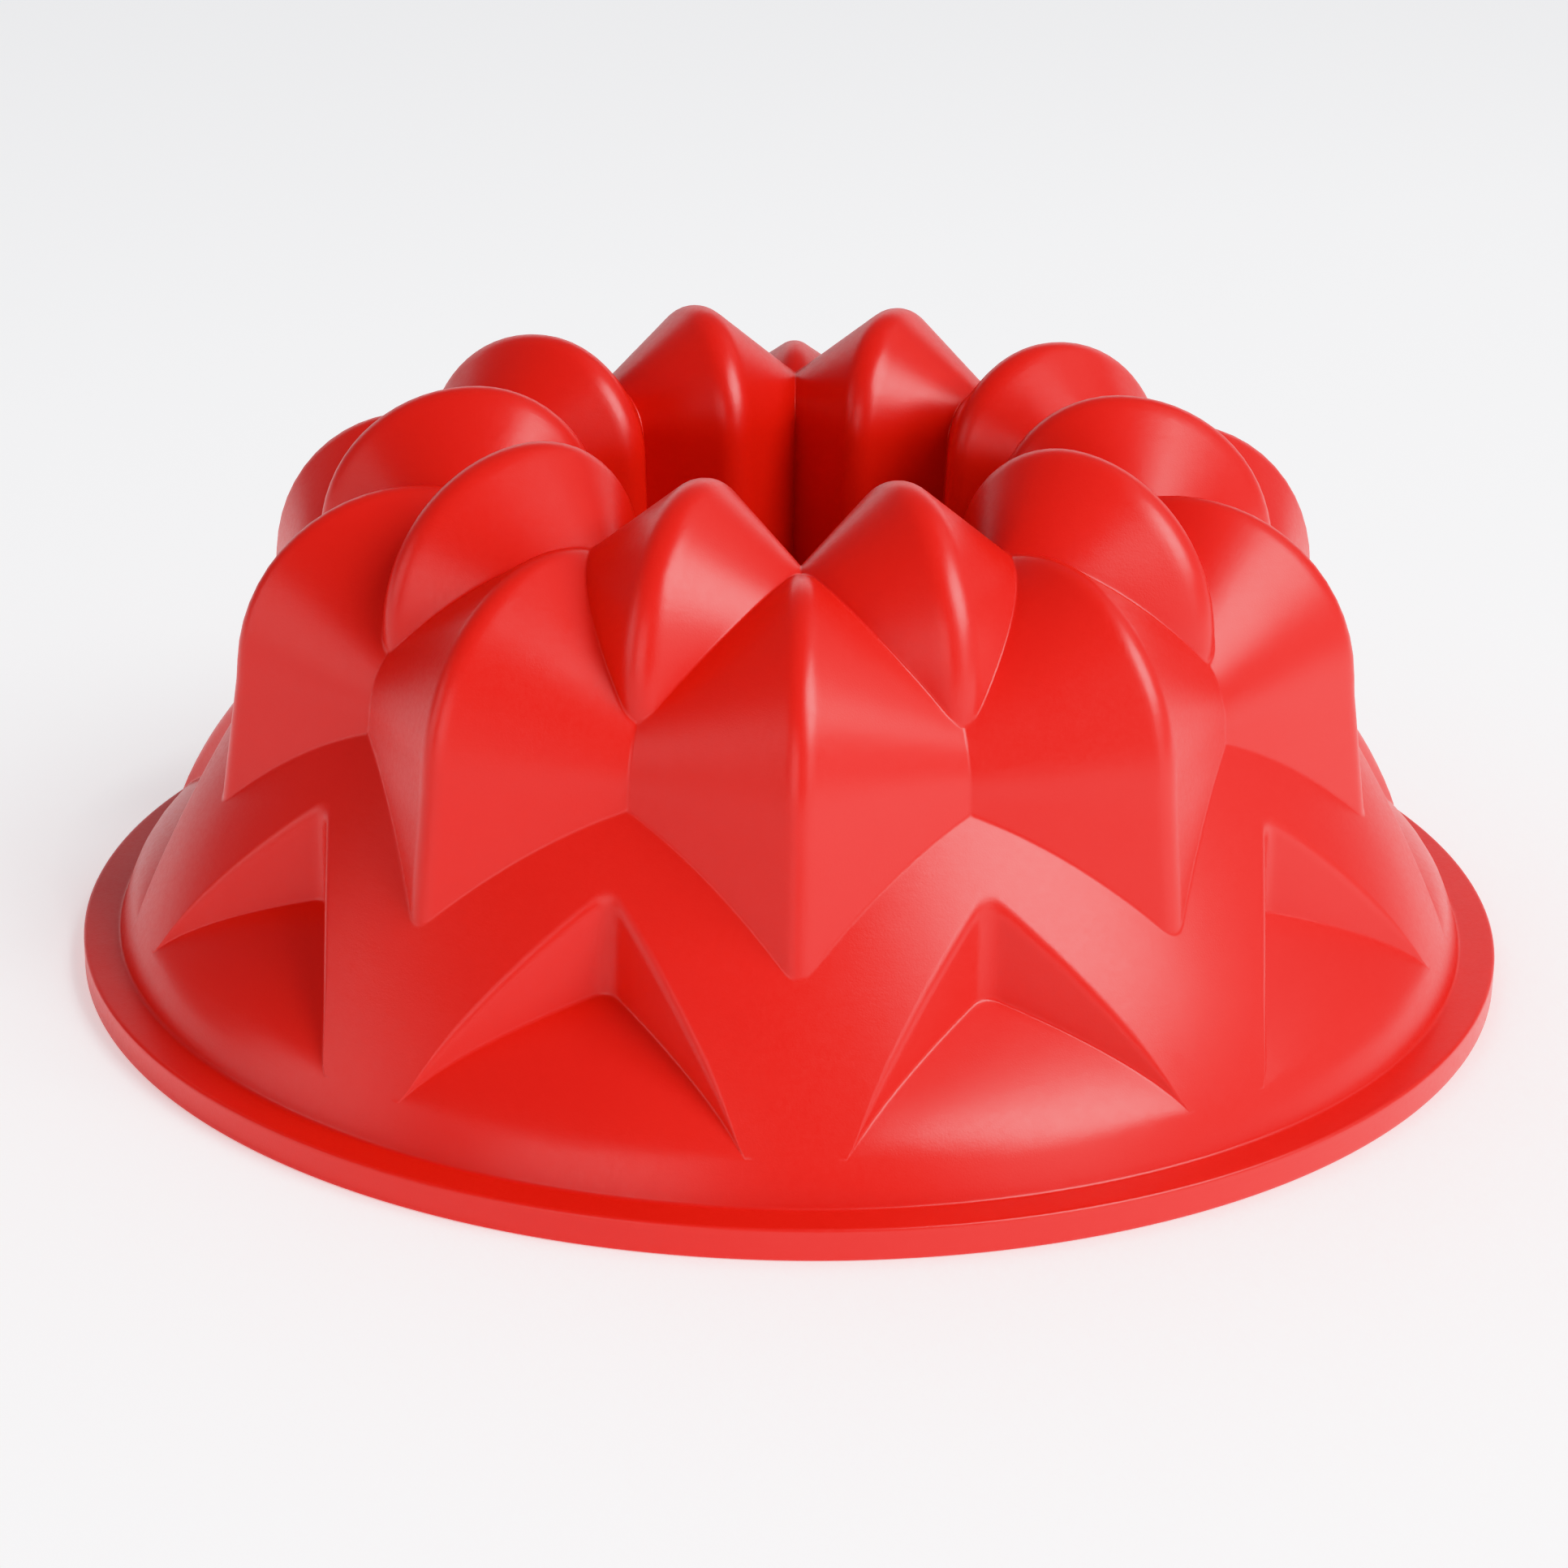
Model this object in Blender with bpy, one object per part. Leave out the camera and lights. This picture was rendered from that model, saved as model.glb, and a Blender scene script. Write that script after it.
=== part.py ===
"""Flexible silicone bundt pan with a steel stiffening ring moulded into its rim.

Metres, +Z up. The pan rests on its rim with its cavity facing down, as it is stored and turned out,
so the origin is the middle of the plane that the rim rests on. A petal of the middle tier faces -Y.

The wall is one closed skin. It is drawn as a radial section at a few turns between the ridge of a
middle petal and the ridge of the crown petal beside it. That half sector is mirrored and spun.
"""

import math

import bmesh
import bpy
from mathutils import Matrix, Vector

# Pattern round the axis
PETALS = 10
HALF_SECTOR = math.pi / PETALS

# Overall
RIM_RADIUS = 0.130
HEIGHT = 0.1036
WALL = 0.0020

# Rim flange, a square bead round the mouth
RIM_WIDTH = 0.0066
RIM_HEIGHT = 0.0057

# Crown petals: discs with a V-shaped edge, standing in radial planes and arching over into the tube
CROWN_SETBACK = 0.0731
CROWN_OUTER_ARC = 0.0288
CROWN_INNER_ARC = 0.0213
CROWN_FALL = 0.93
CROWN_EDGE = 0.0042

# Middle petals, half a sector round from the crown petals and lower down
MID_SETBACK = 0.0589
MID_DROP = 0.0427
MID_ARC = 0.0311
MID_FALL = 0.67
MID_EDGE = 0.0024
MID_DRAFT = 0.145

# Skirt, a convex cone from the rim's inner edge to a shoulder behind the middle petals
SHOULDER_SETBACK = 0.0406
SHOULDER_DROP = 0.0451
SKIRT_BULGE = 0.0050
SKIRT_BULGE_AT = 0.233
MOUTH_LEAN = 0.25

# Notches in the skirt, each a pointed arch with a sunken apron below it
NOTCH_TOP_GAP = 0.0126
NOTCH_FOOT = 0.0068
NOTCH_BRIDGE = 0.0162
APRON_RISE = 0.50
APRON_BEND = 0.0080

# Centre tube, open at its lower end
TUBE_END_HEIGHT = 0.0060
TUBE_DRAFT = 0.050

# Steel ring in the rim, and the holes that the mould's locating pins leave below it
WIRE_RADIUS = 0.00125
PIN_HOLE_RADIUS = 0.0009
MOULD_GAP = 0.0003

# Finishes
SILICONE_COLOUR = (0.72, 0.025, 0.02)
SILICONE_ROUGHNESS = 0.42
STEEL_COLOUR = (0.62, 0.62, 0.60)
STEEL_ROUGHNESS = 0.35

# Fineness of the mesh
COLUMNS = 3
SKIRT_ROWS = 2
MID_ROWS = 4
CROWN_ROWS = 3
TUBE_MOUTH_ROWS = 4
RING_STEPS = 60
WIRE_SIDES = 8
PIN_SIDES = 10
SHARP_ANGLE = math.radians(25)
MERGE = 1e-6

# Searches for where two surfaces meet
HALVINGS = 40
SETTLING_ROUNDS = 20
APRON_OVERRUN = 1.3
SKIRT_OVERRUN = 1.2
CREASE_LIMIT = math.radians(115)

# Places that follow from the sizes above
SKIRT_BASE_RADIUS = RIM_RADIUS - RIM_WIDTH
CROWN_RADIUS = RIM_RADIUS - CROWN_SETBACK
MID_RADIUS = RIM_RADIUS - MID_SETBACK
MID_HEIGHT = HEIGHT - MID_DROP
SHOULDER_RADIUS = RIM_RADIUS - SHOULDER_SETBACK
SHOULDER_HEIGHT = HEIGHT - SHOULDER_DROP
RING_RADIUS = RIM_RADIUS - RIM_WIDTH / 2


def crossing(gap, low, high):
    """Value between low and high where gap turns from negative to positive, or the nearer end."""
    for _ in range(HALVINGS):
        middle = (low + high) / 2
        if gap(middle) < 0:
            low = middle
        else:
            high = middle
    return high


def softened(distance, edge):
    """Distance from a ridge, rounded off so that the ridge isn't a knife edge."""
    return math.hypot(distance, edge) - edge


def outward(along):
    """Direction away from the pan's material, for a section drawn upwards along its outer face."""
    return Vector((along.y, -along.x)).normalized()


def curve_tangent(start, bend, end, share):
    return (bend.lerp(end, share) - start.lerp(bend, share)).normalized()


def curve_point(start, bend, end, share, inset):
    """Point of a three-point curve, moved inwards at right angles to it."""
    point = start.lerp(bend, share).lerp(bend.lerp(end, share), share)
    return point - inset * outward(curve_tangent(start, bend, end, share))


SKIRT_BASE = Vector((SKIRT_BASE_RADIUS, RIM_HEIGHT))
SKIRT_TOP = Vector((SHOULDER_RADIUS, SHOULDER_HEIGHT))
SKIRT_BEND = SKIRT_BASE.lerp(SKIRT_TOP, SKIRT_BULGE_AT)
SKIRT_BEND += SKIRT_BULGE * outward(SKIRT_TOP - SKIRT_BASE)


def skirt_point(share, inset):
    return curve_point(SKIRT_BASE, SKIRT_BEND, SKIRT_TOP, share, inset)


# Shares of the skirt's curve at which the notches' legs end and their points rise to
LEG_SHARE = crossing(lambda share: skirt_point(share, 0).y - RIM_HEIGHT - NOTCH_FOOT, 0, 1)
PEAK_SHARE = crossing(lambda share: skirt_point(share, 0).y - SHOULDER_HEIGHT + NOTCH_TOP_GAP, 0, 1)
LEG_END = skirt_point(LEG_SHARE, 0)
NOTCH_PEAK = skirt_point(PEAK_SHARE, 0)
LEG_TURN = NOTCH_BRIDGE / 2 / LEG_END.x
APRON_PEAK = Vector((NOTCH_PEAK.x, LEG_END.y + APRON_RISE * (NOTCH_PEAK.y - LEG_END.y)))
APRON_TANGENT = curve_tangent(SKIRT_BASE, SKIRT_BEND, SKIRT_TOP, LEG_SHARE)


def apron_point(share, inset):
    return curve_point(LEG_END, LEG_END + APRON_BEND * APRON_TANGENT, APRON_PEAK, share, inset)


def notch_radius(turn, inset):
    """Radius of the notch's upright wall, which is flat from the notch's middle to its leg's end."""
    spread = HALF_SECTOR - LEG_TURN
    peak = Vector((NOTCH_PEAK.x, 0))
    leg = LEG_END.x * Vector((math.cos(spread), math.sin(spread)))
    away = HALF_SECTOR - turn
    facing = outward(leg - peak)
    return (facing.dot(peak) - inset) / facing.dot(Vector((math.cos(away), math.sin(away))))


def mid_size(turn, reach, inset):
    """Size of a middle petal's arch beside its ridge, smaller for the inner face of the wall."""
    beside = softened(reach * math.tan(turn), MID_EDGE)
    return MID_ARC - MID_FALL * beside - inset * math.hypot(1, MID_FALL)


def mid_radius(turn, height, inset):
    """Radius of a middle petal, an arch above the petal's centre and a drafted wall below it."""
    rise = height - MID_HEIGHT
    reach = MID_RADIUS + MID_ARC
    for _ in range(SETTLING_ROUNDS):
        size = mid_size(turn, reach, inset)
        bulge = math.sqrt(max(size**2 - rise**2, 0)) if rise > 0 else size - MID_DRAFT * rise
        reach = MID_RADIUS + bulge
    return reach / math.cos(turn)


def mid_arch_point(turn, angle, inset):
    """Point of a middle petal's arch, whose angle climbs from 0 at its side."""
    reach = MID_RADIUS + MID_ARC
    for _ in range(SETTLING_ROUNDS):
        size = mid_size(turn, reach, inset)
        reach = MID_RADIUS + size * math.cos(angle)
    return Vector((reach / math.cos(turn), MID_HEIGHT + size * math.sin(angle)))


def crown_size(reach, away, arc, inset):
    """Size of a crown petal's arch beside its ridge, smaller for the inner face of the wall."""
    beside = softened(reach * math.tan(away), CROWN_EDGE)
    return arc - CROWN_FALL * beside - inset * math.hypot(1, CROWN_FALL)


def crown_point(turn, angle, arc, side, inset):
    """Point of a crown petal's arch on its outer side (+1) or its tube side (-1)."""
    away = HALF_SECTOR - turn
    reach = CROWN_RADIUS
    for _ in range(SETTLING_ROUNDS):
        size = crown_size(reach, away, arc, inset)
        reach = CROWN_RADIUS + side * size * math.cos(angle)
    return Vector((reach / math.cos(away), HEIGHT - arc + size * math.sin(angle)))


def crown_angle(turn, point):
    away = HALF_SECTOR - turn
    reach = point.x * math.cos(away)
    return math.atan2(point.y - HEIGHT + CROWN_OUTER_ARC, reach - CROWN_RADIUS)


def depth_in_crown(turn, point, inset):
    """How far a point lies inside the crown petals' outer arch."""
    away = HALF_SECTOR - turn
    reach = point.x * math.cos(away)
    arm = math.hypot(reach - CROWN_RADIUS, point.y - HEIGHT + CROWN_OUTER_ARC)
    return crown_size(reach, away, CROWN_OUTER_ARC, inset) - arm


def tube_point(turn, height, inset):
    """Point of the centre tube, which carries the crown petals' inner sides down with a little draft."""
    away = HALF_SECTOR - turn
    depth = HEIGHT - CROWN_INNER_ARC - height
    reach = CROWN_RADIUS
    for _ in range(SETTLING_ROUNDS):
        reach = CROWN_RADIUS - crown_size(reach, away, CROWN_INNER_ARC, inset) - TUBE_DRAFT * depth
    return Vector((reach / math.cos(away), height))


def shares(count):
    """The shares 1/count, 2/count and so on up to 1."""
    return [(step + 1) / count for step in range(count)]


def skin(turn, inset):
    """Section of one face of the wall, from the rim up over the petals and down the tube."""
    apron_end = 0
    notch_top = LEG_SHARE
    if turn > LEG_TURN:
        wall = notch_radius(turn, inset)
        apron_end = crossing(lambda share: wall - apron_point(share, inset).x, 0, APRON_OVERRUN)
        notch_top = crossing(lambda share: wall - skirt_point(share, inset).x, LEG_SHARE, 1)

    def petal_stands_out(share):
        point = skirt_point(share, inset)
        return mid_radius(turn, point.y, inset) - point.x

    def crown_covers(angle):
        return depth_in_crown(turn, mid_arch_point(turn, angle, inset), inset)

    petal_foot = crossing(petal_stands_out, notch_top, SKIRT_OVERRUN)
    crease = crossing(crown_covers, 0, CREASE_LIMIT)
    crown_start = min(crown_angle(turn, mid_arch_point(turn, crease, inset)), math.pi / 2)
    crown_sweep = math.pi / 2 - crown_start

    points = [skirt_point(0, inset)]
    for share in shares(SKIRT_ROWS):
        points.append(skirt_point(LEG_SHARE * share, inset))
    for share in shares(SKIRT_ROWS):
        points.append(apron_point(apron_end * share, inset))
    points.append(skirt_point(notch_top, inset))
    for share in shares(SKIRT_ROWS):
        points.append(skirt_point(notch_top + (petal_foot - notch_top) * share, inset))
    points.append(mid_arch_point(turn, 0, inset))
    for share in shares(MID_ROWS):
        points.append(mid_arch_point(turn, crease * share, inset))
    for share in shares(CROWN_ROWS):
        points.append(crown_point(turn, crown_start + crown_sweep * share, CROWN_OUTER_ARC, 1, inset))
    for share in shares(TUBE_MOUTH_ROWS):
        points.append(crown_point(turn, math.pi / 2 * (1 - share), CROWN_INNER_ARC, -1, inset))
    points.append(tube_point(turn, TUBE_END_HEIGHT, inset))
    return points


def pan_section(turn):
    """Closed section of the wall and the rim."""
    inner = skin(turn, WALL)
    mouth = inner[0] + inner[0].y * Vector((MOUTH_LEAN, -1))
    rim = [mouth, Vector((RIM_RADIUS, 0)), Vector((RIM_RADIUS, RIM_HEIGHT))]
    return rim + skin(turn, 0) + inner[::-1] + [mouth]


def column_turns():
    """Turns of the sections: a middle petal's ridge, a notch leg's end, then evenly to its middle."""
    beyond_leg = HALF_SECTOR - LEG_TURN
    return [0, LEG_TURN] + [LEG_TURN + beyond_leg * share for share in shares(COLUMNS)]


def shaped_object(name, bm, material, place=(0, 0, 0)):
    mesh = bpy.data.meshes.new(name)
    bm.to_mesh(mesh)
    bm.free()
    mesh.shade_smooth()
    mesh.set_sharp_from_angle(angle=SHARP_ANGLE)
    mesh.materials.append(material)
    obj = bpy.data.objects.new(name, mesh)
    obj.location = place
    bpy.context.collection.objects.link(obj)
    return obj


def principled(name, colour, roughness, metallic=0.0):
    material = bpy.data.materials.new(name)
    material.use_nodes = True
    shader = material.node_tree.nodes["Principled BSDF"]
    shader.inputs["Base Color"].default_value = (*colour, 1)
    shader.inputs["Roughness"].default_value = roughness
    shader.inputs["Metallic"].default_value = metallic
    return material


def silicone_pan(material):
    """One half sector as a grid, mirrored about the middle petal's ridge and spun all the way round."""
    sections = [pan_section(turn) for turn in column_turns()]
    rows = len(sections[0])
    bm = bmesh.new()
    grid = bmesh.ops.create_grid(bm, x_segments=rows - 1, y_segments=len(sections) - 1, size=1)
    for number, vertex in enumerate(grid["verts"]):
        column, row = divmod(number, rows)
        point = sections[column][row]
        facing = Matrix.Rotation(column_turns()[column] - math.pi / 2, 3, "Z")
        vertex.co = facing @ Vector((point.x, 0, point.y))
    half = bm.verts[:] + bm.edges[:] + bm.faces[:]
    bmesh.ops.mirror(bm, geom=half, matrix=Matrix(), merge_dist=MERGE, axis="X")
    bmesh.ops.remove_doubles(bm, verts=bm.verts[:], dist=MERGE)
    sector = bm.verts[:] + bm.edges[:] + bm.faces[:]
    bmesh.ops.spin(
        bm,
        geom=sector,
        cent=(0, 0, 0),
        axis=(0, 0, 1),
        angle=2 * math.pi,
        steps=PETALS,
        use_duplicate=True,
        use_merge=True,
    )
    bmesh.ops.remove_doubles(bm, verts=bm.verts[:], dist=2 * MERGE)
    bmesh.ops.recalc_face_normals(bm, faces=bm.faces[:])
    return shaped_object("silicone_pan", bm, material)


def hoop(radius, wire):
    """A ring of round wire about the axis."""
    bm = bmesh.new()
    upright = Matrix.Translation((radius, 0, 0)) @ Matrix.Rotation(math.pi / 2, 4, "X")
    circle = bmesh.ops.create_circle(bm, segments=WIRE_SIDES, radius=wire, matrix=upright)
    bmesh.ops.spin(
        bm,
        geom=circle["verts"] + bm.edges[:],
        cent=(0, 0, 0),
        axis=(0, 0, 1),
        angle=2 * math.pi,
        steps=RING_STEPS,
        use_merge=True,
    )
    bmesh.ops.remove_doubles(bm, verts=bm.verts[:], dist=MERGE)
    bmesh.ops.recalc_face_normals(bm, faces=bm.faces[:])
    return bm


def pin_holes():
    """Upright pins below the ring, one at each middle petal, long enough to run out of the rim."""
    bm = bmesh.new()
    length = RIM_HEIGHT
    for number in range(PETALS):
        facing = Matrix.Rotation(2 * math.pi * number / PETALS, 4, "Z")
        place = facing @ Matrix.Translation((0, -RING_RADIUS, -length / 2))
        bmesh.ops.create_cone(
            bm,
            cap_ends=True,
            segments=PIN_SIDES,
            radius1=PIN_HOLE_RADIUS,
            radius2=PIN_HOLE_RADIUS,
            depth=length,
            matrix=place,
        )
    return bm


def cut(body, name, bm, place):
    """Cuts a shape from the body. The cutter stays in the file, hidden, so that it can be changed."""
    cutter = shaped_object(name, bm, body.data.materials[0], place)
    cutter.hide_render = True
    cutter.display_type = "WIRE"
    boolean = body.modifiers.new(name, "BOOLEAN")
    boolean.operation = "DIFFERENCE"
    boolean.solver = "EXACT"
    boolean.object = cutter


def build():
    for obj in list(bpy.data.objects):
        bpy.data.objects.remove(obj)
    ring_place = (0, 0, RIM_HEIGHT / 2)
    silicone = principled("red_silicone", SILICONE_COLOUR, SILICONE_ROUGHNESS)
    steel = principled("steel_wire", STEEL_COLOUR, STEEL_ROUGHNESS, metallic=1.0)
    pan = silicone_pan(silicone)
    cut(pan, "ring_channel", hoop(RING_RADIUS, WIRE_RADIUS + MOULD_GAP), ring_place)
    cut(pan, "pin_holes", pin_holes(), ring_place)
    shaped_object("rim_ring", hoop(RING_RADIUS, WIRE_RADIUS), steel, ring_place)


build()
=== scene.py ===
# %% [markdown]
# # A silicone bundt pan, upside down
#
# This pan is a single moulding in red silicone: ten pointed petals round the crown, ten more below and
# between them, a convex skirt with ten arched notches, a square rim bead and an open tube in the middle.
# Nothing is assembled except a wire ring that is hidden in the bead.
#
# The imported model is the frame: it says how wide and how tall the pan is, and everything here is fitted to
# it.

# %% Load the frame
import bisect
import math

import bmesh
import bpy
from mathutils import Matrix, Vector


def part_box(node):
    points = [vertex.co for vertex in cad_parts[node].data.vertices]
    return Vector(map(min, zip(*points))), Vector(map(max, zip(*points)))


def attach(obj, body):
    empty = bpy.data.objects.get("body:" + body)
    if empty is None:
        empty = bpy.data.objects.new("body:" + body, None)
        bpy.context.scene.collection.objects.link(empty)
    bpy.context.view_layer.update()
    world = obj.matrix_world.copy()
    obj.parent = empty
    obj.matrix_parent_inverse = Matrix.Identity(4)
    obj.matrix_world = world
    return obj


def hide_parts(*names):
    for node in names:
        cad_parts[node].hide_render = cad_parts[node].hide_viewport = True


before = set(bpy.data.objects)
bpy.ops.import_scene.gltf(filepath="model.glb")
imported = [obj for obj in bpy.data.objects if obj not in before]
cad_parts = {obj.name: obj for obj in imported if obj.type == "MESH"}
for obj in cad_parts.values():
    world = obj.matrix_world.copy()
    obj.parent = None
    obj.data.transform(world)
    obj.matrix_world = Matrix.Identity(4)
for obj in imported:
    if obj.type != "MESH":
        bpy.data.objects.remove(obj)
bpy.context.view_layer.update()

low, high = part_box("silicone_pan")
ring_low, ring_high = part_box("rim_ring")
RIM_RADIUS = high.x
HEIGHT = high.z
WIRE_RADIUS = (ring_high.z - ring_low.z) / 2
RING_RADIUS = ring_high.x - WIRE_RADIUS
RING_HEIGHT = (ring_high.z + ring_low.z) / 2
RIM_HEIGHT = 2 * RING_HEIGHT
RIM_WIDTH = 2 * (RIM_RADIUS - RING_RADIUS)
print(f"rim {2000 * RIM_RADIUS:.1f} mm across")
print(f"bead {1000 * RIM_WIDTH:.1f} by {1000 * RIM_HEIGHT:.1f} mm in section")

# %% [markdown]
# ## The shape as one radial section that changes as it turns
#
# The pan repeats ten times, and each tenth is its own mirror image, so half a sector of 18 degrees holds
# the whole design. It could be carved from a cone with Booleans, but the cuts would leave long thin faces
# that shade badly. Here the half sector is a grid instead. Each column of the grid is a section of the wall
# at one turn, between the ridge of a middle petal (turn 0) and the ridge of the crown petal beside it.
#
# A petal is a disc with a V-shaped edge, standing in a radial plane. Seen from the side its ridge is an
# arc, and the further a point lies from that plane, the smaller the arc. Silicone can't hold a knife edge,
# so the flat faces on either side of a ridge run into a round nose.

# %% Sizes of the petals
PETALS = 10
HALF_SECTOR = math.pi / PETALS
WALL = 0.0020

CROWN_FROM_RIM = 0.0731
CROWN_RADIUS = RIM_RADIUS - CROWN_FROM_RIM
CROWN_OUTER_ARC = 0.0288
CROWN_INNER_ARC = 0.0213
CROWN_FALL = 0.825
CROWN_NOSE = 0.0050

MID_FROM_RIM = 0.0589
MID_BELOW_TOP = 0.0427
MID_RADIUS = RIM_RADIUS - MID_FROM_RIM
MID_HEIGHT = HEIGHT - MID_BELOW_TOP
MID_ARC = 0.0311
MID_FALL = 0.645
MID_NOSE = 0.0040
MID_DRAFT = 0.145

TUBE_END_HEIGHT = 0.0060
TUBE_DRAFT = 0.050


def nosed(distance, fall, nose):
    """Drop below a ridge with a round nose and flat faces of the given fall."""
    slope = math.atan(fall)
    flat_from = nose * math.sin(slope)
    if distance < flat_from:
        return nose - math.sqrt(nose**2 - distance**2)
    return nose * (1 - math.cos(slope)) + fall * (distance - flat_from)


def mid_size(reach, turn, inset):
    """Radius of a middle petal's arc, measured beside its ridge."""
    drop = nosed(reach * math.tan(turn), MID_FALL, MID_NOSE)
    return MID_ARC - drop - inset * math.hypot(1, MID_FALL)


def crown_size(reach, turn, arc, inset):
    """Radius of a crown petal's arc, measured beside its ridge."""
    drop = nosed(reach * math.tan(HALF_SECTOR - turn), CROWN_FALL, CROWN_NOSE)
    return arc - drop - inset * math.hypot(1, CROWN_FALL)


print(f"{PETALS} petals a tier, half a sector is {math.degrees(HALF_SECTOR):.0f} degrees")

# %% [markdown]
# The size of the arc depends on how far out the point is, and how far out it is depends on the arc, so each
# point is found by going round that loop a few times until it settles.

# %% Points on the petals and in the tube
SETTLE = 20


def mid_arch_point(turn, angle, inset):
    """Point on a middle petal's arch, at an angle up from its outermost point."""
    reach = MID_RADIUS + MID_ARC
    for _ in range(SETTLE):
        size = mid_size(reach, turn, inset)
        reach = MID_RADIUS + size * math.cos(angle)
    return Vector((reach / math.cos(turn), MID_HEIGHT + size * math.sin(angle)))


def mid_wall_radius(turn, height, inset):
    """Radius of a middle petal's flank: an arch above its centre, a drafted wall below."""
    rise = height - MID_HEIGHT
    reach = MID_RADIUS + MID_ARC
    for _ in range(SETTLE):
        size = mid_size(reach, turn, inset)
        bulge = math.sqrt(max(size**2 - rise**2, 0)) if rise > 0 else size - MID_DRAFT * rise
        reach = MID_RADIUS + bulge
    return reach / math.cos(turn)


def crown_point(turn, angle, arc, side, inset):
    """Point on a crown petal's arc, outside the ridge (side 1) or inside it (side -1)."""
    away = HALF_SECTOR - turn
    reach = CROWN_RADIUS
    for _ in range(SETTLE):
        size = crown_size(reach, turn, arc, inset)
        reach = CROWN_RADIUS + side * size * math.cos(angle)
    return Vector((reach / math.cos(away), HEIGHT - arc + size * math.sin(angle)))


def depth_in_crown(turn, point, inset):
    """How deep a point lies within the crown petal's outer arc."""
    reach = point.x * math.cos(HALF_SECTOR - turn)
    arm = math.hypot(reach - CROWN_RADIUS, point.y - HEIGHT + CROWN_OUTER_ARC)
    return crown_size(reach, turn, CROWN_OUTER_ARC, inset) - arm


def tube_point(turn, height, inset):
    """Point on the tube, which carries the crown petals on down with a little draft."""
    depth = HEIGHT - CROWN_INNER_ARC - height
    reach = CROWN_RADIUS
    for _ in range(SETTLE):
        reach = CROWN_RADIUS - crown_size(reach, turn, CROWN_INNER_ARC, inset) - TUBE_DRAFT * depth
    return Vector((reach / math.cos(HALF_SECTOR - turn), height))


print(f"crown ridge at {1000 * CROWN_RADIUS:.1f} mm from the axis")
print(f"middle petals reach {1000 * (MID_RADIUS + MID_ARC):.1f} mm")

# %% [markdown]
# ## Skirt and notches
#
# The skirt is a surface of revolution, a shallow curve from the rim to a shoulder that hides behind the
# middle petals. Each notch is a pointed arch pushed into it: two upright walls that meet in a rounded
# corner, and a flatter apron that leaves the skirt without a break at the ends of the arch's legs. Where
# two curves meet is found by halving: the gap between them is tested at the middle again and again.

# %% Curves of the skirt and the apron
SKIRT_BASE = Vector((RIM_RADIUS - RIM_WIDTH, RIM_HEIGHT))
SHOULDER_FROM_RIM = 0.0406
SHOULDER_BELOW_TOP = 0.0451
SKIRT_TOP = Vector((RIM_RADIUS - SHOULDER_FROM_RIM, HEIGHT - SHOULDER_BELOW_TOP))
SKIRT_BULGE = 0.0050
SKIRT_BULGE_AT = 0.233
NOTCH_TOP_GAP = 0.0126
NOTCH_FOOT = 0.0068
NOTCH_BRIDGE = 0.0162
NOTCH_CORNER = 0.0045
APRON_RISE = 0.50
APRON_BEND = 0.0064
HALVINGS = 40
STEEPEST_FALL = 2


def outward(along):
    """Direction away from the material, for a section drawn upwards along its outer face."""
    return Vector((along.y, -along.x)).normalized()


def crossing(gap, start, end):
    """Value between start and end where gap turns from negative to positive."""
    for _ in range(HALVINGS):
        middle = (start + end) / 2
        if gap(middle) < 0:
            start = middle
        else:
            end = middle
    return end


def curve_point(start, bend, end, share, inset):
    """Point of a three-point curve, moved inwards at right angles to it."""
    first, last = start.lerp(bend, share), bend.lerp(end, share)
    return first.lerp(last, share) - inset * outward(last - first)


SKIRT_BEND = SKIRT_BASE.lerp(SKIRT_TOP, SKIRT_BULGE_AT) + SKIRT_BULGE * outward(SKIRT_TOP - SKIRT_BASE)


def skirt_point(share, inset):
    """Point of the skirt, a share of the way from the rim to the shoulder."""
    return curve_point(SKIRT_BASE, SKIRT_BEND, SKIRT_TOP, share, inset)


LEG_SHARE = crossing(lambda share: skirt_point(share, 0).y - RIM_HEIGHT - NOTCH_FOOT, 0, 1)
PEAK_SHARE = crossing(lambda share: skirt_point(share, 0).y - SKIRT_TOP.y + NOTCH_TOP_GAP, 0, 1)
LEG_END = skirt_point(LEG_SHARE, 0)
NOTCH_PEAK = skirt_point(PEAK_SHARE, 0)
LEG_TURN = NOTCH_BRIDGE / 2 / LEG_END.x
APRON_PEAK = Vector((NOTCH_PEAK.x, LEG_END.y + APRON_RISE * (NOTCH_PEAK.y - LEG_END.y)))
LEG_TANGENT = SKIRT_BEND.lerp(SKIRT_TOP, LEG_SHARE) - SKIRT_BASE.lerp(SKIRT_BEND, LEG_SHARE)
APRON_MIDDLE = LEG_END + APRON_BEND * LEG_TANGENT.normalized()
LEG_DEPTH = LEG_END.x * math.cos(HALF_SECTOR - LEG_TURN) - NOTCH_PEAK.x
LEG_SIDE = LEG_END.x * math.sin(HALF_SECTOR - LEG_TURN)
NOTCH_FALL = crossing(lambda fall: nosed(LEG_SIDE, fall, NOTCH_CORNER) - LEG_DEPTH, 0, STEEPEST_FALL)


def apron_point(share, inset):
    """Point of the apron, a share of the way from the end of a leg to the corner."""
    return curve_point(LEG_END, APRON_MIDDLE, APRON_PEAK, share, inset)


def notch_radius(turn, inset):
    """Radius of the notch's upright wall, flat from its rounded corner to the end of its leg."""
    away = HALF_SECTOR - turn
    radius = NOTCH_PEAK.x
    for _ in range(SETTLE):
        depth = nosed(radius * math.sin(away), NOTCH_FALL, NOTCH_CORNER)
        radius = (NOTCH_PEAK.x + depth - inset * math.hypot(1, NOTCH_FALL)) / math.cos(away)
    return radius


print(f"notch corner from {1000 * APRON_PEAK.y:.1f} to {1000 * NOTCH_PEAK.y:.1f} mm high")

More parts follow.
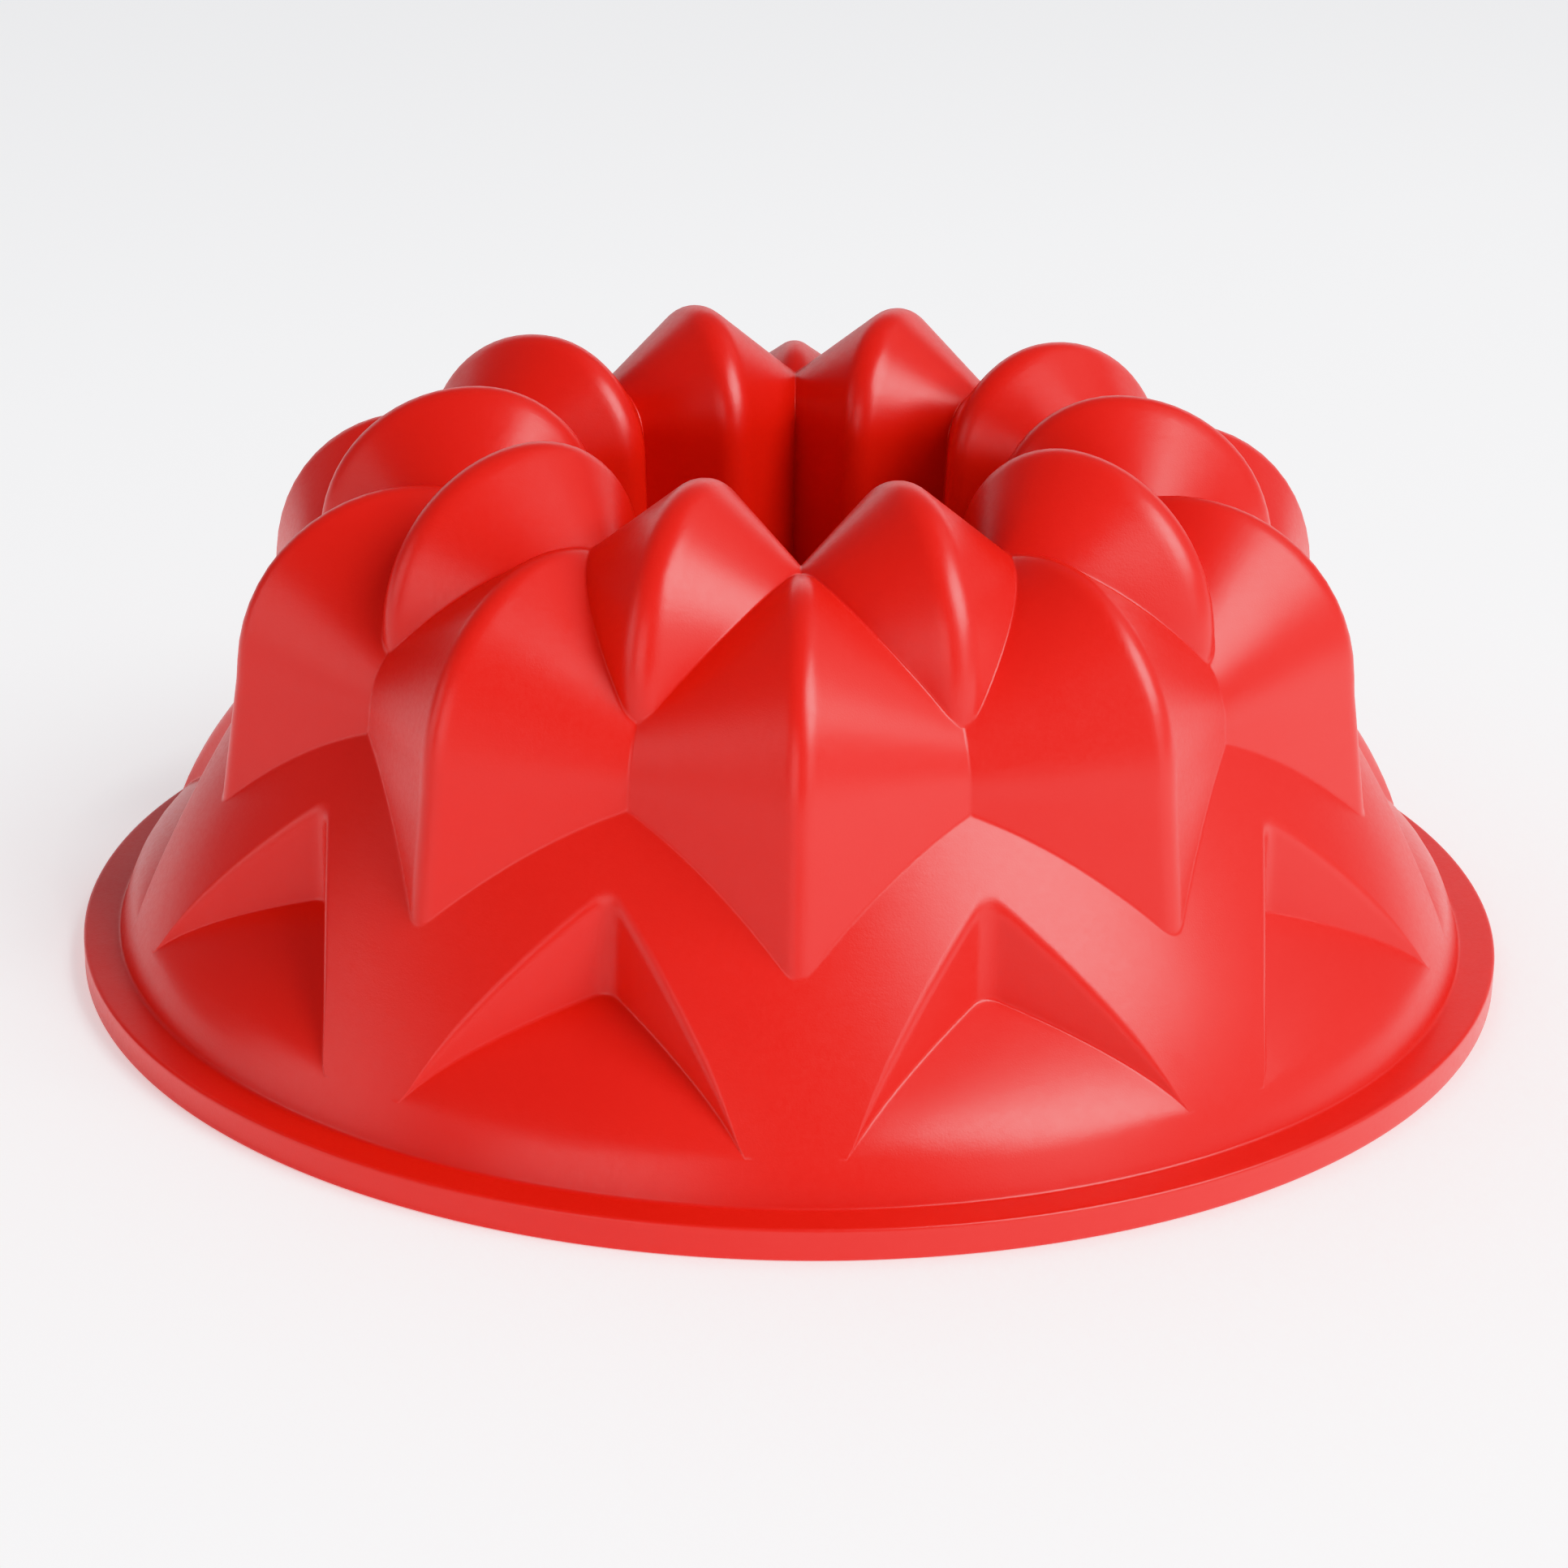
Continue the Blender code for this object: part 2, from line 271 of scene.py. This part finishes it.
# %% [markdown]
# ## From sections to rows
#
# A crease looks right only if rows of the grid run along it, close together where it bends and with one
# more row on the flat beside it, or the shading smears over the whole face. So a section is first drawn as
# a fine line with its creases marked. Each mark gets a fillet of its own width, wide on the lip of a notch
# and narrow in the valleys, and the rows are then set out by their distance along the line. Where a stretch
# shrinks to nothing, as a notch does past the end of its leg, its rows keep a hair's breadth and slide on
# along the plain skirt, which leaves no pinched faces.

# %% How far to look for the places where two curves meet
APRON_REACH = 1.3
SKIRT_REACH = 1.2
CREASE_REACH = math.radians(115)
TOP_OF_ARC = math.pi / 2


def petal_past_skirt(turn, share, inset):
    """How far a middle petal's flank stands out from the skirt."""
    point = skirt_point(share, inset)
    return mid_wall_radius(turn, point.y, inset) - point.x


print(f"a middle petal's arch is followed for up to {math.degrees(CREASE_REACH):.0f} degrees")

# %% Fine line of one face of the wall, with its marks
FINE = 60


def stretch(point_at, start, end):
    """Fine points of one stretch, without its first."""
    return [point_at(start + (end - start) * (step + 1) / FINE) for step in range(FINE)]


def face_line(turn, inset):
    """Points of the wall's face from the rim to the tube's end, and the number of each marked point."""

    def skirt(share):
        return skirt_point(share, inset)

    def apron(share):
        return apron_point(share, inset)

    def arch(angle):
        return mid_arch_point(turn, angle, inset)

    apron_end = 0
    notch_top = LEG_SHARE
    if turn > LEG_TURN:
        wall = notch_radius(turn, inset)
        apron_end = crossing(lambda share: wall - apron(share).x, 0, APRON_REACH)
        notch_top = crossing(lambda share: wall - skirt(share).x, LEG_SHARE, 1)
    foot = crossing(lambda share: petal_past_skirt(turn, share, inset), notch_top, SKIRT_REACH)
    crease = crossing(lambda angle: depth_in_crown(turn, arch(angle), inset), 0, CREASE_REACH)
    meeting = arch(crease)
    reach = meeting.x * math.cos(HALF_SECTOR - turn) - CROWN_RADIUS
    crown_start = min(math.atan2(meeting.y - HEIGHT + CROWN_OUTER_ARC, reach), TOP_OF_ARC)
    tube_top = HEIGHT - CROWN_INNER_ARC

    def crown_outside(angle):
        return crown_point(turn, angle, CROWN_OUTER_ARC, 1, inset)

    def crown_inside(angle):
        return crown_point(turn, angle, CROWN_INNER_ARC, -1, inset)

    line = [skirt(0)]
    marks = [0]
    for point_at, start, end, marked in (
        (skirt, 0, LEG_SHARE, True),
        (apron, 0, apron_end, True),
        (lambda share: apron(apron_end).lerp(skirt(notch_top), share), 0, 1, True),
        (skirt, notch_top, foot, True),
        (lambda share: skirt(foot).lerp(arch(0), share), 0, 1, False),
        (arch, 0, crease, True),
        (crown_outside, crown_start, TOP_OF_ARC, False),
        (crown_inside, TOP_OF_ARC, 0, True),
        (lambda height: tube_point(turn, height, inset), tube_top, TUBE_END_HEIGHT, True),
    ):
        line += stretch(point_at, start, end)
        if marked:
            marks.append(len(line) - 1)
    return line, marks


line, marks = face_line(HALF_SECTOR, 0)
print(f"fine line of {len(line)} points with {len(marks)} marks")

# %% Fillets along the fine line
FILLETS = (0, 0, 0.0005, 0.0018, 0.0005, 0.0006, 0, 0)
FILLET_SHARE = 0.4
MERGE = 1e-6


def bent(start, corner, end, share):
    """Point of a curve that sets out from start towards a corner and turns towards end."""
    return start.lerp(corner, share).lerp(corner.lerp(end, share), share)


class FilletedLine:
    """A fine line, read by distance, whose marks are rounded by a curve from one side to the other."""

    def __init__(self, line, marks, fillets):
        self.line = line
        self.lengths = [0.0]
        for before, after in zip(line, line[1:]):
            self.lengths.append(self.lengths[-1] + (after - before).length)
        self.stops = [self.lengths[mark] for mark in marks]
        self.widths = []
        for number, (stop, fillet) in enumerate(zip(self.stops, fillets)):
            beside = self.stops[max(number - 1, 0):number + 2]
            room = min((abs(other - stop) for other in beside if other != stop), default=0)
            self.widths.append(min(fillet, FILLET_SHARE * room))

    def plain(self, place):
        """Point at a distance along the line, before the fillets."""
        place = min(max(place, 0), self.lengths[-1])
        number = min(bisect.bisect_right(self.lengths, place), len(self.line) - 1)
        span = max(self.lengths[number] - self.lengths[number - 1], MERGE**2)
        return self.line[number - 1].lerp(self.line[number], (place - self.lengths[number - 1]) / span)

    def point(self, place):
        """Point at a distance along the line, with the fillets."""
        for stop, width in zip(self.stops, self.widths):
            if abs(place - stop) < width:
                share = (place - stop + width) / (2 * width)
                return bent(self.plain(stop - width), self.plain(stop), self.plain(stop + width), share)
        return self.plain(place)


print(f"fillets up to {1000 * max(FILLETS):.1f} mm wide on each side of a crease")

# %% Rows set out along the filleted line
GUARD = 0.0004
GUARD_PARTS = 10
LEAST_ROW = 0.00005
CREASE_STEPS = (-1, -0.5, 0, 0.5, 1)


def set_out(line, marks, rows_between):
    """Points of the rows: across each fillet, one on the flat on either side of it, some between.

    The row beside a fillet keeps the guard's distance, or a tenth of the stretch where that is less.
    """
    face = FilletedLine(line, marks, FILLETS)
    wanted = [0.0]
    for number, between in enumerate(rows_between):
        start, end = face.stops[number:number + 2]
        guard = min(GUARD, (end - start) / GUARD_PARTS)
        first = start + face.widths[number] + (guard if FILLETS[number] else 0)
        last = end - face.widths[number + 1] - (guard if FILLETS[number + 1] else 0)
        if FILLETS[number]:
            wanted.append(first)
        wanted += [first + (last - first) * (step + 1) / (between + 1) for step in range(between)]
        if FILLETS[number + 1]:
            wanted.append(last)
            wanted += [end + face.widths[number + 1] * step for step in CREASE_STEPS]
        else:
            wanted.append(end)
    places = [wanted[0]]
    for place in wanted[1:]:
        places.append(max(place, places[-1] + LEAST_ROW))
    return [face.point(place) for place in places]


OUTER_ROWS = (3, 6, 3, 5, 22, 30, 6)
INNER_ROWS = (1, 3, 1, 2, 8, 10, 2)
print(f"{len(set_out(line, marks, OUTER_ROWS))} rows outside")
print(f"{len(set_out(line, marks, INNER_ROWS))} rows inside")

# %% [markdown]
# ## The rim bead and the whole section
#
# The bead is nearly square, with corners rounded by under a millimetre. Its underside is the flat ring that
# the pan stands on. The section closes on itself: underside, bead, outer face, tube end, inner face, mouth.

# %% Closed section at one turn
RIM_FILLET = 0.0006
ROOT_FILLET = 0.0005
MOUTH_LEAN = 0.25
PIN_RADIUS = 0.0009
MOST_OF_SIDE = 0.5
ROUND_SHARES = (0, 0.25, 0.5, 0.75, 1)
SEAM = 3


def cornered(before, corner, after, fillet):
    """A rounded corner, with one more point on the flat on either side of it."""
    start = corner.lerp(before, min(fillet / (before - corner).length, MOST_OF_SIDE))
    end = corner.lerp(after, min(fillet / (after - corner).length, MOST_OF_SIDE))
    points = [start.lerp(before, GUARD / (before - start).length)]
    points += [bent(start, corner, end, share) for share in ROUND_SHARES]
    points.append(end.lerp(after, GUARD / (after - end).length))
    return points


def pan_section(turn):
    """Closed section of the pan, which starts and ends in the middle of the mouth's rounded corner."""
    outer = set_out(*face_line(turn, 0), OUTER_ROWS)
    inner = set_out(*face_line(turn, WALL), INNER_ROWS)
    mouth = inner[0] + inner[0].y * Vector((MOUTH_LEAN, -1))
    under = Vector((RIM_RADIUS, 0))
    edge = Vector((RIM_RADIUS, RIM_HEIGHT))
    pin_in = Vector((RING_RADIUS - PIN_RADIUS, 0))
    pin_out = Vector((RING_RADIUS + PIN_RADIUS, 0))
    mouth_corner = cornered(inner[0], mouth, pin_in, ROOT_FILLET)
    lip = (outer[-1] + inner[-1]) / 2 - Vector((0, WALL / 2))
    points = mouth_corner[SEAM:]
    points += [pin_in, pin_out]
    points += cornered(pin_out, under, edge, RIM_FILLET)
    points += cornered(under, edge, outer[0], RIM_FILLET)
    points += cornered(edge, outer[0], outer[1], ROOT_FILLET)
    points += outer[2:-1]
    points += [bent(outer[-1], lip, inner[-1], share) for share in ROUND_SHARES]
    points += inner[-2::-1]
    return points + mouth_corner[:SEAM + 1]


section = pan_section(HALF_SECTOR)
print(f"{len(section)} points in the closed section")

# %% [markdown]
# ## Grid, mirror and spin
#
# create_grid gives the half sector with one column for each turn. The columns crowd together at the two
# ridges, where the surface turns sharply, and at the end of a notch's leg. The grid is bent onto the
# sections, mirrored across the middle petal's ridge, spun round the axis and merged.

# %% Columns
RIDGE_DEGREES = (0, 0.25, 0.6, 1.0, 1.45, 1.9, 2.5, 3.1)
WALL_DEGREES = (4.3, 5.0, 6.0, 7.2, 8.5, 9.9, 11.3, 12.6, 13.8, 14.8, 15.6, 16.3)
CORNER_DEGREES = (16.8, 17.15, 17.45, 17.75, 18)
turns = [math.radians(degrees) for degrees in RIDGE_DEGREES]
turns += [LEG_TURN]
turns += [math.radians(degrees) for degrees in WALL_DEGREES + CORNER_DEGREES]
sections = [pan_section(turn) for turn in turns]
rows = len(sections[0])
print(f"{len(turns)} columns of {rows} rows")

# %% Half a sector, mirrored and spun
bm = bmesh.new()
grid = bmesh.ops.create_grid(bm, x_segments=rows - 1, y_segments=len(turns) - 1, size=1)
for number, vertex in enumerate(grid["verts"]):
    column, row = divmod(number, rows)
    point = sections[column][row]
    facing = Matrix.Rotation(turns[column] - math.pi / 2, 3, "Z")
    vertex.co = facing @ Vector((point.x, 0, point.y))
bmesh.ops.mirror(
    bm, geom=bm.verts[:] + bm.edges[:] + bm.faces[:], matrix=Matrix(), merge_dist=MERGE, axis="X")
bmesh.ops.remove_doubles(bm, verts=bm.verts[:], dist=MERGE)
bmesh.ops.spin(
    bm, geom=bm.verts[:] + bm.edges[:] + bm.faces[:], cent=(0, 0, 0), axis=(0, 0, 1),
    angle=2 * math.pi, steps=PETALS, use_duplicate=True, use_merge=True)
bmesh.ops.remove_doubles(bm, verts=bm.verts[:], dist=2 * MERGE)
bmesh.ops.recalc_face_normals(bm, faces=bm.faces[:])
print(f"{len(bm.faces)} faces in the closed skin")

# %% [markdown]
# ## Marks of the locating pins
#
# While silicone is injected, short pins hold the wire ring in the middle of the bead. They leave a small
# hole under each middle petal. The faces there are inset and pushed up as far as the wire.

# %% Pin holes
PIN_DEPTH = RING_HEIGHT - WIRE_RADIUS
PIN_TURN = math.radians(0.3)
PIN_INSET = PIN_RADIUS / 6
FACING_DOWN = -0.9


def over_a_pin(face):
    """Whether a face lies in the bead's underside, where a pin stood."""
    middle = face.calc_center_median()
    turned = math.remainder(math.atan2(middle.x, -middle.y), 2 * HALF_SECTOR)
    if face.normal.z >= FACING_DOWN or middle.z >= MERGE or abs(turned) >= PIN_TURN:
        return False
    return abs(math.hypot(*middle.xy) - RING_RADIUS) < PIN_RADIUS / 2


pin_faces = [face for face in bm.faces if over_a_pin(face)]
bmesh.ops.inset_region(bm, faces=pin_faces, thickness=PIN_INSET, use_even_offset=True)
pushed = bmesh.ops.extrude_face_region(bm, geom=pin_faces)
bmesh.ops.delete(bm, geom=pin_faces, context="FACES")
pushed_verts = [item for item in pushed["geom"] if isinstance(item, bmesh.types.BMVert)]
bmesh.ops.translate(bm, verts=pushed_verts, vec=(0, 0, PIN_DEPTH))
print(f"{len(pin_faces)} faces pushed up for {PETALS} pin holes")

# %% Pan object
mesh = bpy.data.meshes.new("pan")
bm.to_mesh(mesh)
bm.free()
mesh.shade_smooth()
pan = bpy.data.objects.new("pan", mesh)
bpy.context.scene.collection.objects.link(pan)
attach(pan, "root")
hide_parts("silicone_pan")
print(f"{sum(len(face.vertices) - 2 for face in mesh.polygons)} triangles in the pan")

# %% [markdown]
# ## Silicone
#
# Moulded silicone is satin: it mirrors broad lights softly, and its skin is faintly mottled where it filled
# the mould. The colour goes right through it and hardly varies. What varies is the gloss, so the detail is
# in the roughness and the bump: a fine grain that sparkles inside a highlight, and long soft waves that
# bend it. A painted picture of the skin could do the same, but noise needs no unwrapping and no files.

# %% Silicone material, first its shader
SILICONE_IOR = 1.50
SCATTER_SHARE = 0.08
SCATTER_COLOUR = (1.0, 0.12, 0.08)
SCATTER_DEPTH = 0.0025

silicone = bpy.data.materials.new("red_silicone")
silicone.use_nodes = True
nodes, links = silicone.node_tree.nodes, silicone.node_tree.links
shader = nodes["Principled BSDF"]
shader.inputs["IOR"].default_value = SILICONE_IOR
shader.inputs["Subsurface Weight"].default_value = SCATTER_SHARE
shader.inputs["Subsurface Radius"].default_value = SCATTER_COLOUR
shader.inputs["Subsurface Scale"].default_value = SCATTER_DEPTH
place = nodes.new("ShaderNodeTexCoord")


def noise(scale, detail, roughness=0.5, where=None):
    """Noise of so many lumps to the metre."""
    node = nodes.new("ShaderNodeTexNoise")
    node.inputs["Scale"].default_value = scale
    node.inputs["Detail"].default_value = detail
    node.inputs["Roughness"].default_value = roughness
    links.new(where or place.outputs["Object"], node.inputs["Vector"])
    return node.outputs["Fac"]


def ranged(value, found, wanted):
    """The value, moved from the range it is found in to the wanted one, and held there."""
    node = nodes.new("ShaderNodeMapRange")
    for socket, number in zip(("From Min", "From Max", "To Min", "To Max"), found + wanted):
        node.inputs[socket].default_value = number
    links.new(value, node.inputs["Value"])
    return node.outputs["Result"]


def mixed(share, first, second):
    """A colour between two colours."""
    node = nodes.new("ShaderNodeMix")
    node.data_type = "RGBA"
    node.inputs["A"].default_value = (*first, 1)
    node.inputs["B"].default_value = (*second, 1)
    links.new(share, node.inputs["Factor"])
    return node.outputs["Result"]


print(f"light sinks up to {1000 * SCATTER_DEPTH:.1f} mm into the silicone")

# %% Colour
DEEP_RED = (0.60, 0.022, 0.017)
WARM_RED = (0.67, 0.027, 0.020)
COLOUR_LUMPS = 18
links.new(mixed(noise(COLOUR_LUMPS, detail=3), DEEP_RED, WARM_RED), shader.inputs["Base Color"])
print(f"the red wanders between two close tones, over {1000 / COLOUR_LUMPS:.0f} mm")

# %% Gloss
GLOSS_LUMPS = 900
NOISE_RANGE = (0.38, 0.62)
ROUGHNESS_RANGE = (0.285, 0.37)
speckle = noise(GLOSS_LUMPS, detail=6, roughness=0.85)
links.new(ranged(speckle, NOISE_RANGE, ROUGHNESS_RANGE), shader.inputs["Roughness"])
print(f"the gloss changes over {1000 / GLOSS_LUMPS:.1f} mm and less")

# %% Bumps of the skin
WAVE_LUMPS = 45
WAVE_DEPTH = 0.00012
STREAK_LUMPS = 230
STREAK_DEPTH = 0.000015
STREAK_LENGTH = 4
GRAIN_LUMPS = 3200
GRAIN_DEPTH = 0.000016


def bumped(height, distance, before=None):
    """A bump of the given depth, on top of another."""
    node = nodes.new("ShaderNodeBump")
    node.inputs["Distance"].default_value = distance
    links.new(height, node.inputs["Height"])
    if before:
        links.new(before, node.inputs["Normal"])
    return node.outputs["Normal"]


streak_place = nodes.new("ShaderNodeMapping")
streak_place.inputs["Scale"].default_value = (1, 1, STREAK_LENGTH)
links.new(place.outputs["Object"], streak_place.inputs["Vector"])
waves = bumped(noise(WAVE_LUMPS, detail=2), WAVE_DEPTH)
streaks = bumped(
    noise(STREAK_LUMPS, detail=3, where=streak_place.outputs["Vector"]), STREAK_DEPTH, waves)
grain = bumped(noise(GRAIN_LUMPS, detail=2, roughness=0.6), GRAIN_DEPTH, streaks)
links.new(grain, shader.inputs["Normal"])
pan.data.materials.append(silicone)
print(f"waves of {1000 / WAVE_LUMPS:.0f} mm, level streaks of {1000 / STREAK_LUMPS:.0f} mm, "
      f"grain of {1000 / GRAIN_LUMPS:.1f} mm")

# %% [markdown]
# ## Steel
#
# The ring in the bead is bright drawn wire, and only the pin holes show it. It could be modelled anew, but
# the frame's own ring is round and smooth enough, so it stays and only gets its metal.

# %% Steel material for the ring
STEEL_GREY = (0.62, 0.62, 0.60, 1)
STEEL_ROUGHNESS = 0.32
steel = bpy.data.materials.new("steel_wire")
steel.use_nodes = True
steel_shader = steel.node_tree.nodes["Principled BSDF"]
steel_shader.inputs["Base Color"].default_value = STEEL_GREY
steel_shader.inputs["Metallic"].default_value = 1.0
steel_shader.inputs["Roughness"].default_value = STEEL_ROUGHNESS
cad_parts["rim_ring"].material_slots[0].material = steel
print(f"steel on the ring, {2000 * WIRE_RADIUS:.1f} mm wire")

# %% [markdown]
# ## Studio
#
# A white floor, a pale room and one strong softbox high to the right of the camera, with a weaker one below
# it. They give the petals their form: their reflection is the pale patch on the skirt and down the right of
# every ridge. Dim panels in front, to the left and behind lift the shadows. All but the strong one stand
# four metres off or more, because a near panel would draw a hard line across the floor. The floor is a
# light table, so it glows a little and stays pale up to the pan, but not under it, or the tube would be
# lit from below.

# %% Floor
FLOOR_REACH = 20
FLOOR_WHITE = (0.93, 0.93, 0.93, 1)
FLOOR_ROUGHNESS = 0.9
FLOOR_GLOW = 0.36
GLOW_EDGE = 0.03

floor_bm = bmesh.new()
bmesh.ops.create_grid(floor_bm, x_segments=1, y_segments=1, size=FLOOR_REACH)
floor_mesh = bpy.data.meshes.new("floor")
floor_bm.to_mesh(floor_mesh)
floor_bm.free()
floor = bpy.data.objects.new("floor", floor_mesh)
bpy.context.scene.collection.objects.link(floor)
table = bpy.data.materials.new("light_table")
table.use_nodes = True
table_shader = table.node_tree.nodes["Principled BSDF"]
table_shader.inputs["Base Color"].default_value = FLOOR_WHITE
table_shader.inputs["Roughness"].default_value = FLOOR_ROUGHNESS
table_shader.inputs["Emission Color"].default_value = (1, 1, 1, 1)
table_nodes, table_links = table.node_tree.nodes, table.node_tree.links
table_place = table_nodes.new("ShaderNodeTexCoord")
from_axis = table_nodes.new("ShaderNodeVectorMath")
from_axis.operation = "LENGTH"
table_links.new(table_place.outputs["Object"], from_axis.inputs[0])
glow = table_nodes.new("ShaderNodeMapRange")
glow.inputs["From Min"].default_value = RIM_RADIUS - GLOW_EDGE
glow.inputs["From Max"].default_value = RIM_RADIUS
glow.inputs["To Max"].default_value = FLOOR_GLOW
table_links.new(from_axis.outputs["Value"], glow.inputs["Value"])
table_links.new(glow.outputs["Result"], table_shader.inputs["Emission Strength"])
floor_mesh.materials.append(table)
print(f"floor {2 * FLOOR_REACH} m wide, glowing from {1000 * RIM_RADIUS:.0f} mm outwards")

# %% Room
ROOM_COLOUR = (0.94, 0.95, 1, 1)
ROOM_STRENGTH = 0.30
world = bpy.data.worlds.new("room")
world.use_nodes = True
background = world.node_tree.nodes["Background"]
background.inputs["Color"].default_value = ROOM_COLOUR
background.inputs["Strength"].default_value = ROOM_STRENGTH
bpy.context.scene.world = world
bpy.context.scene.view_settings.view_transform = "Khronos PBR Neutral"
print(f"room light of strength {ROOM_STRENGTH}")

# %% Softboxes
def softbox(name, turn, rise, away, width, height, glow):
    """A light panel of a given radiance that faces the pan, so many degrees right of the front and up."""
    light = bpy.data.lights.new(name, "AREA")
    light.shape = "RECTANGLE"
    light.size = width
    light.size_y = height
    light.energy = glow * math.pi * width * height
    box = bpy.data.objects.new(name, light)
    turn, rise = math.radians(turn), math.radians(rise)
    towards = Vector((math.sin(turn) * math.cos(rise), -math.cos(turn) * math.cos(rise), math.sin(rise)))
    box.location = Vector((0, 0, HEIGHT / 2)) + away * towards
    box.rotation_euler = (-towards).to_track_quat("-Z", "Y").to_euler()
    box.visible_camera = False
    bpy.context.scene.collection.objects.link(box)
    print(f"{name}: {light.energy:.1f} W")


softbox("key", turn=57, rise=44, away=1.2, width=0.74, height=0.74, glow=8.8)
softbox("key_foot", turn=42, rise=12, away=4.0, width=2.0, height=1.5, glow=1.4)
softbox("front_fill", turn=-30, rise=14, away=4.0, width=2.4, height=2.4, glow=1.9)
softbox("left_fill", turn=-80, rise=13, away=4.0, width=2.4, height=2.1, glow=1.5)
softbox("back_fill", turn=120, rise=50, away=4.0, width=2.4, height=2.4, glow=0.4)
softbox("back_glow", turn=180, rise=13, away=4.5, width=7.2, height=1.5, glow=0.8)

# %% [markdown]
# ## Camera
#
# It looks down on the pan from in front, from three quarters of a metre away, through a long lens that
# keeps the petals' proportions calm.

# %% Camera
CAMERA_PLACE = Vector((-0.0097, -0.6826, 0.3036))
CAMERA_YAW = math.radians(-0.69)
CAMERA_PITCH = math.radians(-21.95)
CAMERA_ROLL = math.radians(-1.03)
CAMERA_LENS = 91.57
CAMERA_CLIP_START = 0.01
camera_data = bpy.data.cameras.new("camera")
camera_data.lens = CAMERA_LENS
camera_data.clip_start = CAMERA_CLIP_START
camera = bpy.data.objects.new("camera", camera_data)
turned = (Matrix.Rotation(CAMERA_YAW, 4, "Z") @ Matrix.Rotation(CAMERA_PITCH, 4, "X")
          @ Matrix.Rotation(CAMERA_ROLL, 4, "Y") @ Matrix.Rotation(math.pi / 2, 4, "X"))
camera.matrix_world = Matrix.Translation(CAMERA_PLACE) @ turned
bpy.context.scene.collection.objects.link(camera)
bpy.context.scene.camera = camera
print(f"camera {CAMERA_PLACE.length:.2f} m from the middle of the floor under the pan")
